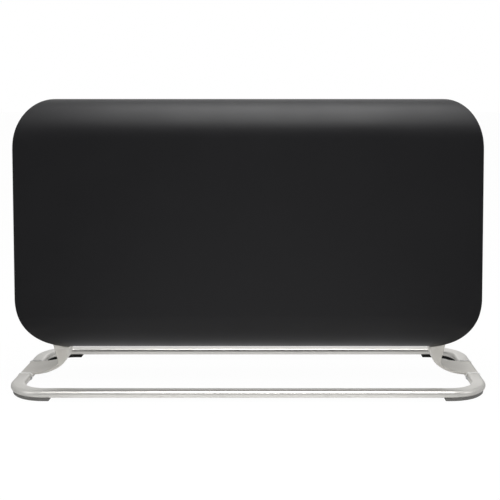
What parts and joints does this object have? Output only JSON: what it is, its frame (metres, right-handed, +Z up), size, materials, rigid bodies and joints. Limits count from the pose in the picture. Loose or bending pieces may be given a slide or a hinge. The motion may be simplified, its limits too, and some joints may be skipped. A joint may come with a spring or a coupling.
{
  "type": "convector heater",
  "caption": "Low wide convector heater with a rolled sheet body, rear air grilles and a flat loop foot on cast side brackets.",
  "frame": {"origin": "on the floor under the middle of the heater", "axes": "+X along the width towards the control end, +Y towards the back where the grilles are, +Z up"},
  "size_m": [0.658, 0.236, 0.404],
  "materials": {
    "panel_black": "satin powder coat",
    "grille_black": "matte moulded",
    "cap_black": "fine moulded texture",
    "bay_black": "matte moulded",
    "knob_black": "semi gloss",
    "rocker_red": "gloss",
    "lens_amber": "clear",
    "zinc_steel": "galvanised",
    "foot_aluminium": "satin brushed",
    "cast_aluminium": "satin cast",
    "fin_aluminium": "raw extruded",
    "rod_steel": "drawn",
    "ceramic": "unglazed",
    "phenolic": "matte",
    "pa_white": "matte",
    "screw_black": "black zinc",
    "screw_steel": "zinc plated",
    "rubber_black": "matte",
    "brass_nut": "plain"
  },
  "bodies": {
    "heater": {"front_panel": "panel_black", "back_panel": "panel_black", "outlet_grille": "grille_black", "inlet_grille": "grille_black", "end_cap_left": "cap_black", "end_cap_right": "cap_black", "control_bay": "bay_black", "bay_screws": "screw_black", "thermostat_body": "phenolic", "thermostat_nut": "brass_nut", "rocker_case_low": "bay_black", "rocker_case_high": "bay_black", "indicator_lens": "lens_amber", "chassis_rail": "zinc_steel", "side_frame_right": "zinc_steel", "side_frame_left": "zinc_steel", "frame_screws": "screw_steel", "front_shield": "zinc_steel", "rear_shield": "zinc_steel", "heating_element": "fin_aluminium", "heater_rods": "rod_steel", "ceramic_bushes": "ceramic", "thermal_cutout": "phenolic", "terminal_block": "pa_white", "tip_switch_case": "pa_white", "cord_gland": "bay_black", "gland_nut": "bay_black", "back_panel_screws": "screw_black", "foot_tube_front": "foot_aluminium", "foot_tube_rear": "foot_aluminium", "foot_bracket_right": "cast_aluminium", "foot_bracket_left": "cast_aluminium", "foot_pads": "rubber_black", "foot_joint_rings": "pa_white", "foot_set_screws": "screw_steel", "neck_bolts": "screw_steel"},
    "thermostat": {"thermostat_shaft": "rod_steel", "thermostat_knob": "knob_black"},
    "rocker_low": {"rocker_low": "rocker_red"},
    "rocker_high": {"rocker_high": "rocker_red"},
    "tip_pendulum": {"tip_switch_pendulum": "rod_steel"}
  },
  "joints": [
    {"name": "thermostat_turn", "type": "hinge", "parent": "heater", "child": "thermostat", "pos_m": [0.3078, 0, 0.262], "axis": [1, 0, 0], "range_deg": [-270, 0]},
    {"name": "rocker_low_tilt", "type": "hinge", "parent": "heater", "child": "rocker_low", "pos_m": [0.3068, 0, 0.206], "axis": [0, 1, 0], "range_deg": [-18, 0]},
    {"name": "rocker_high_tilt", "type": "hinge", "parent": "heater", "child": "rocker_high", "pos_m": [0.3068, 0, 0.176], "axis": [0, 1, 0], "range_deg": [-18, 0]},
    {"name": "tip_swing", "type": "hinge", "parent": "heater", "child": "tip_pendulum", "pos_m": [0.238, 0, 0.112], "axis": [1, 0, 0], "range_deg": [-25, 25]}
  ]
}
